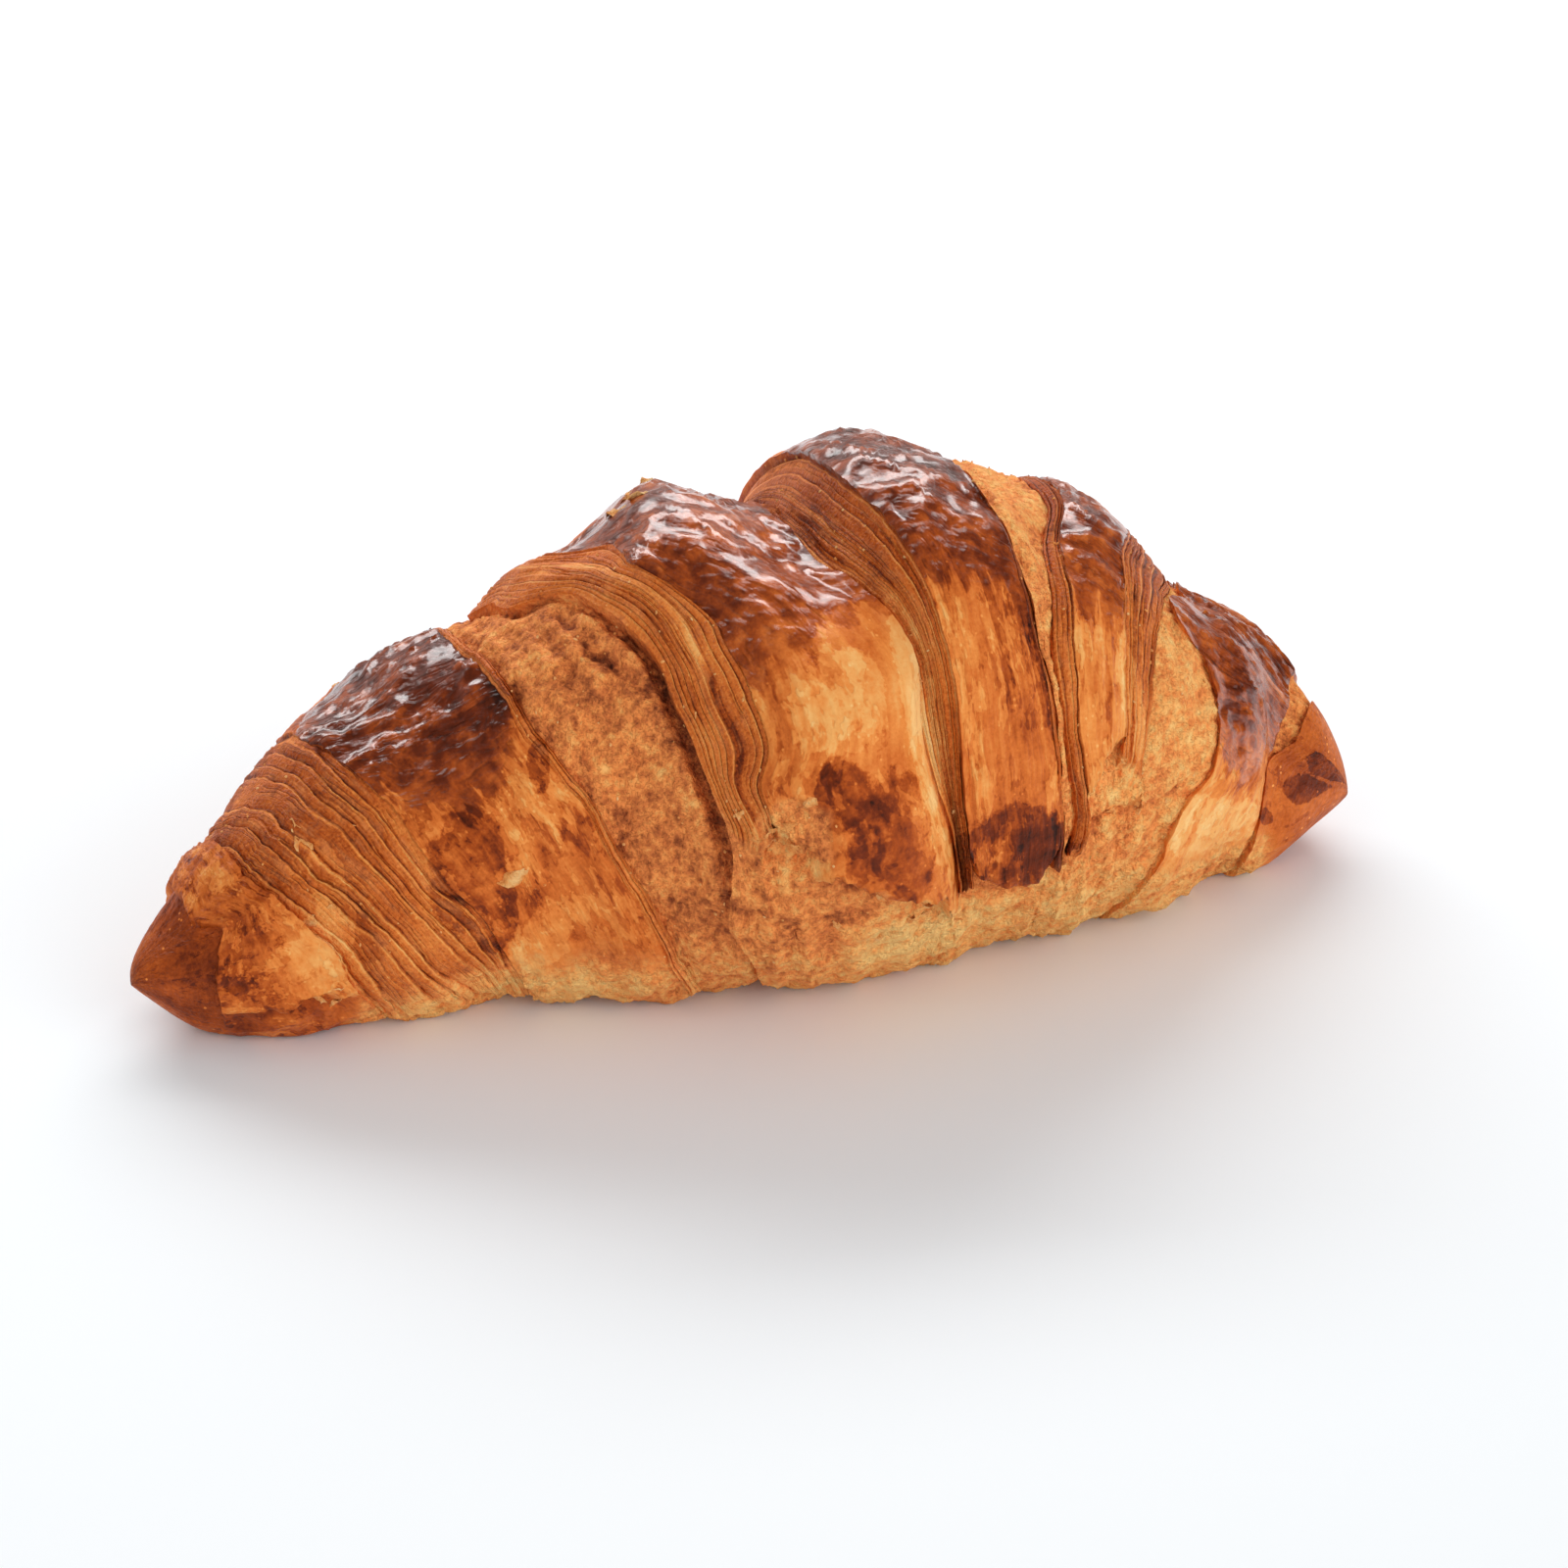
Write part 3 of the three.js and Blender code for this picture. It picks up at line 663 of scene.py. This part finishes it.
# The crumb's raised scale edges are lighter: a painted highlight.
crumb_bake_and_shade = crumb_bake_and_shade + burnt * 0.12 - flaked * 0.10 + (1.5 - scales) * 0.05
crumb_share = (crumb + leafy * (0.34 + leaf_lines * 0.5 + mottle * 0.6)).between(0.25, 0.75)
colour = crumb_share.mixed(skin_bake_and_shade.ramp(SKIN_BAKE), crumb_bake_and_shade.ramp(CRUMB_BAKE))

roughness = 0.50 - egg * 0.18 - amber * open_skin * 0.08 + crumb_share * 0.24 + mottle * 0.06
glazed = dripped.between(0.34, 0.70)
relief = (streaks * 0.20 - tears * 0.06) * (1 - glazed) * (1 - crumb) * (1 - leafy)
leaf_relief = leaf_lines * 0.10 - fine_lines * 0.12 - grooves * 0.14 + lips * 0.10 + grit * 0.14
relief = relief + leafy * leaf_relief
relief = relief + crumb_share * (1 - leafy) * (fibres * 0.26 + speckled * 0.26 + scales * 0.18)
relief = relief + grit * (0.03 + crumb_share * 0.06)
relief = relief + glazed * (ridges * 0.30 + pimples * 0.42 + 0.08) + mottle * (0.08 - glazed * 0.06)
bumped = wire.node("ShaderNodeBump", {}, {"Strength": 1.0, "Distance": 0.001, "Height": relief})
shader = wire.node("ShaderNodeBsdfPrincipled", {}, {
    "Base Color": colour, "Roughness": roughness, "Specular IOR Level": 0.2, "Coat Weight": egg * 0.74,
    "Coat Roughness": 0.16, "Coat IOR": 1.6, "Normal": bumped})
wire.node("ShaderNodeOutputMaterial", {}, {"Surface": shader})
dough_mesh.materials.append(baked_dough)

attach(croissant, "root")
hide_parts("croissant")


# Loose crumbs
# Crumbs of broken leaf, a quarter to three quarters of a millimetre across, stick to the cut
# edges and to the burst dough. Each is a small lump, scattered where the dough is rough.

CRUMB_SIZE = 0.00026       # metres from a crumb's middle to its outside
CRUMBS_PER_AREA = 60000.0  # in a square metre of the roughest dough
LOOSE_BAKE = [(0.2, tint(255, 214, 148)), (0.5, tint(244, 166, 92)), (0.9, tint(200, 108, 46))]


def loose_tree(name, sizes):
    """A geometry tree with the dough and named sizes as inputs, and a wire from each input by name."""
    tree = bpy.data.node_groups.new(name, "GeometryNodeTree")
    tree.interface.new_socket("Loose", in_out="OUTPUT", socket_type="NodeSocketGeometry")
    tree.interface.new_socket("Dough", in_out="INPUT", socket_type="NodeSocketGeometry")
    for label, value in sizes.items():
        kind = {int: "NodeSocketInt", float: "NodeSocketFloat"}.get(type(value), "NodeSocketMaterial")
        tree.interface.new_socket(label, in_out="INPUT", socket_type=kind)
    given = tree.nodes.new("NodeGroupInput")
    return tree, {socket.name: Wire(tree, socket) for socket in given.outputs if socket.name}


def finish_tree(tree, loose, material):
    """Ends a tree in real mesh with its material."""
    real = loose.node("GeometryNodeRealizeInstances", {}, {"Geometry": loose})
    painted = real.node("GeometryNodeSetMaterial", {}, {"Geometry": real, "Material": material})
    tree.links.new(painted.socket, tree.nodes.new("NodeGroupOutput").inputs[0])


def loose_piece(name, tree, sizes):
    """Runs a tree on the dough and keeps what it makes as a plain mesh."""
    carrier = bpy.data.objects.new(name + "_carrier", dough_mesh)
    bpy.context.collection.objects.link(carrier)
    modifier = carrier.modifiers.new(name, "NODES")
    modifier.node_group = tree
    for item in tree.interface.items_tree:
        if item.in_out == "INPUT" and item.name in sizes:
            modifier[item.identifier] = sizes[item.name]
    bpy.context.view_layer.update()
    evaluated = carrier.evaluated_get(bpy.context.evaluated_depsgraph_get())
    mesh = bpy.data.meshes.new_from_object(evaluated)
    mesh.name = name
    carrier.modifiers.remove(modifier)
    bpy.data.objects.remove(carrier)
    piece = bpy.data.objects.new(name, mesh)
    bpy.context.collection.objects.link(piece)
    return piece


loose_crust, wire = new_finish("loose_crust")
place = wire.node("ShaderNodeTexCoord", output=3)
shade = place.noise(3.0, 2) * 0.5 + place.noise(0.6, 2) * 0.3 + 0.45
shader = wire.node("ShaderNodeBsdfPrincipled", {}, {
    "Base Color": shade.ramp(LOOSE_BAKE),
    "Roughness": 0.6 + place.noise(0.8) * 0.1, "Specular IOR Level": 0.2,
    "Normal": wire.node("ShaderNodeBump", {}, {"Distance": 0.0003, "Height": place.noise(0.4, 3)})})
wire.node("ShaderNodeOutputMaterial", {}, {"Surface": shader})

crumb_sizes = {
    "Crumb Size": CRUMB_SIZE, "Crumbs per Area": CRUMBS_PER_AREA, "Seed": 7, "Finish": loose_crust}
tree, given = loose_tree("loose_crumbs", crumb_sizes)
dough = given["Dough"]
crumbly_here = dough.node("GeometryNodeInputNamedAttribute", {"data_type": "FLOAT"}, {"Name": "crumbly"})
spread = dough.node("GeometryNodeDistributePointsOnFaces", {}, {
    "Mesh": dough, "Density": crumbly_here * given["Crumbs per Area"], "Seed": given["Seed"]})
lump = dough.node("GeometryNodeMeshIcoSphere", {}, {"Radius": given["Crumb Size"], "Subdivisions": 1})
turned = dough.node("FunctionNodeRandomValue", {"data_type": "FLOAT_VECTOR"},
                    {0: (0, 0, 0), 1: (6.28, 6.28, 6.28), "Seed": 3})
scaled = dough.node("FunctionNodeRandomValue", {"data_type": "FLOAT_VECTOR"},
                    {0: (0.45, 0.45, 0.3), 1: (1.5, 1.1, 0.9), "Seed": 4})
crumbs = dough.node("GeometryNodeInstanceOnPoints", {}, {
    "Points": spread, "Instance": lump, "Rotation": turned, "Scale": scaled})
finish_tree(tree, crumbs, given["Finish"])
loose_crumbs = loose_piece("loose_crumbs", tree, crumb_sizes)
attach(loose_crumbs, "root")


# Loose flakes
# Thin flakes of the outermost leaf, one to three millimetres across, came half away from the
# crust and curl up at their edges. Each is a thin curved chip with a torn outline.

FLAKE_LENGTH = 0.0027
FLAKE_WIDTH = 0.0020
FLAKE_THICKNESS = 0.00011
FLAKE_CURL = 300.0         # how strongly a flake curls up, from its length squared
FLAKES_PER_AREA = 140000.0
FLAKE_TEAR_SCALE = 520.0   # how many bumps a metre its torn outline has
FLAKE_TEAR = 0.003         # how far they move it, in metres

flake_sizes = {
    "Flake Length": FLAKE_LENGTH, "Flake Width": FLAKE_WIDTH, "Flake Thickness": FLAKE_THICKNESS,
    "Curl": FLAKE_CURL, "Flakes per Area": FLAKES_PER_AREA, "Seed": 11, "Finish": loose_crust}
tree, given = loose_tree("loose_flakes", flake_sizes)
dough = given["Dough"]
flaky_here = dough.node("GeometryNodeInputNamedAttribute", {"data_type": "FLOAT"}, {"Name": "flaky"})
spread = dough.node("GeometryNodeDistributePointsOnFaces", {}, {
    "Mesh": dough, "Density": flaky_here * given["Flakes per Area"], "Seed": given["Seed"]})
facing = Wire(tree, spread.socket.node.outputs["Rotation"])
block = dough.node("ShaderNodeCombineXYZ", {}, {
    0: given["Flake Length"], 1: given["Flake Width"], 2: given["Flake Thickness"]})
chip = dough.node("GeometryNodeMeshCube", {}, {
    "Size": block, "Vertices X": 6, "Vertices Y": 5, "Vertices Z": 2})
spot = dough.node("GeometryNodeInputPosition")
along = dough.node("ShaderNodeSeparateXYZ", {}, {0: spot})
lifted = dough.node("ShaderNodeCombineXYZ", {}, {2: along * along * given["Curl"]})
chip = dough.node("GeometryNodeSetPosition", {}, {"Geometry": chip, "Offset": lifted})
tilt = dough.node("FunctionNodeRandomValue", {"data_type": "FLOAT_VECTOR"},
                  {0: (-0.35, -0.35, -3.14), 1: (0.35, 0.35, 3.14), "Seed": 5})
facing = dough.node("FunctionNodeRotateRotation", {"rotation_space": "LOCAL"},
                    {"Rotation": facing, "Rotate By": tilt})
scaled = dough.node("FunctionNodeRandomValue", {"data_type": "FLOAT_VECTOR"},
                    {0: (0.35, 0.35, 0.8), 1: (1.1, 1.0, 1.2), "Seed": 6})
flakes = dough.node("GeometryNodeInstanceOnPoints", {}, {
    "Points": spread, "Instance": chip, "Rotation": facing, "Scale": scaled})
flakes = dough.node("GeometryNodeRealizeInstances", {}, {"Geometry": flakes})
torn_edge = dough.node("ShaderNodeTexNoise", {}, {
    "Vector": spot, "Scale": FLAKE_TEAR_SCALE, "Detail": 2.0}, 1)
torn_edge = dough.node("ShaderNodeVectorMath", {"operation": "SUBTRACT"},
                       {0: torn_edge, 1: (0.5, 0.5, 0.5)})
torn_edge = torn_edge.stretched(FLAKE_TEAR, FLAKE_TEAR, FLAKE_TEAR)
flakes = dough.node("GeometryNodeSetPosition", {}, {"Geometry": flakes, "Offset": torn_edge})
finish_tree(tree, flakes, given["Finish"])
loose_flakes = loose_piece("loose_flakes", tree, flake_sizes)
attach(loose_flakes, "root")


# Floor, light and camera
# A plain pale floor, a long soft light above and behind that gives the glaze its shine, a large one
# in front, a weak one on the left, and a camera that looks down at the photo's angle.

floor_mesh = bpy.data.meshes.new("studio_floor")
FLOOR_REACH = 4.0
floor_mesh.from_pydata([(-FLOOR_REACH, -FLOOR_REACH, -0.0001), (FLOOR_REACH, -FLOOR_REACH, -0.0001),
                        (FLOOR_REACH, FLOOR_REACH, -0.0001), (-FLOOR_REACH, FLOOR_REACH, -0.0001)],
                       [], [(0, 1, 2, 3)])
floor = bpy.data.objects.new("studio_floor", floor_mesh)
bpy.context.collection.objects.link(floor)
pale_floor, wire = new_finish("pale_floor")
floor_shader = wire.node("ShaderNodeBsdfPrincipled", {}, {
    "Base Color": tint(242, 247, 251), "Roughness": 0.6})
wire.node("ShaderNodeOutputMaterial", {}, {"Surface": floor_shader})
floor_mesh.materials.append(pale_floor)

# Each soft light: name, place, size across and up, and watts, all turned towards the dough.
for name, spot, size, watts in [
    ("light_above", (0.12, 0.68, 0.58), (1.1, 0.25), 6.4),
    ("light_left", (-0.75, -0.35, 0.55), (0.8, 0.6), 1.0),
    ("light_front", (0.55, -1.0, 0.50), (1.6, 1.1), 8.0),
]:
    lamp = bpy.data.lights.new(name, "AREA")
    lamp.shape = "RECTANGLE"
    lamp.size, lamp.size_y = size
    lamp.energy = watts
    light = bpy.data.objects.new(name, lamp)
    light.location = spot
    light.rotation_euler = (Vector((0, 0, 0.03)) - Vector(spot)).to_track_quat("-Z", "Y").to_euler()
    light.visible_glossy = name == "light_above"
    bpy.context.collection.objects.link(light)

SKY = 0.5
BRIGHT_WALL, DARK_ROOM = 0.38, 0.04   # what reflections see behind the roll and in front of it
world = bpy.data.worlds.new("studio_world")
world.use_nodes = True
world.node_tree.nodes.clear()
wire = Wire(world.node_tree)
mirrored = wire.node("ShaderNodeLightPath", output="Is Glossy Ray")
direction = wire.node("ShaderNodeTexCoord", output="Generated")
behind = wire.node("ShaderNodeSeparateXYZ", {}, {0: direction}, 1).between(0.3, 0.85)
strength = SKY + mirrored * (behind * BRIGHT_WALL + DARK_ROOM - SKY)
sky = wire.node("ShaderNodeBackground", {}, {"Color": (1.0, 0.975, 0.95, 1), "Strength": strength})
wire.node("ShaderNodeOutputWorld", {}, {"Surface": sky})
bpy.context.scene.world = world
bpy.context.scene.view_settings.view_transform = "Standard"

CAMERA_AZIMUTH, CAMERA_HEIGHT = math.radians(-19.5), math.radians(29.0)
CAMERA_DISTANCE = 0.700
FRAME_WIDTH = 0.2075    # what the frame takes in at the middle of the roll
LOOK_AT = Vector((0.0038 - BOX_CENTRE[0] / 1000, -BOX_CENTRE[1] / 1000, 0.022))
back = Vector((math.sin(CAMERA_AZIMUTH) * math.cos(CAMERA_HEIGHT),
               -math.cos(CAMERA_AZIMUTH) * math.cos(CAMERA_HEIGHT), math.sin(CAMERA_HEIGHT)))
lens = bpy.data.cameras.new("studio_camera")
lens.sensor_width = 36
lens.lens = 36 * CAMERA_DISTANCE / FRAME_WIDTH
lens.clip_end = 20
camera = bpy.data.objects.new("studio_camera", lens)
camera.location = LOOK_AT + back * CAMERA_DISTANCE
camera.rotation_euler = (-back).to_track_quat("-Z", "Y").to_euler()
bpy.context.collection.objects.link(camera)
bpy.context.scene.camera = camera
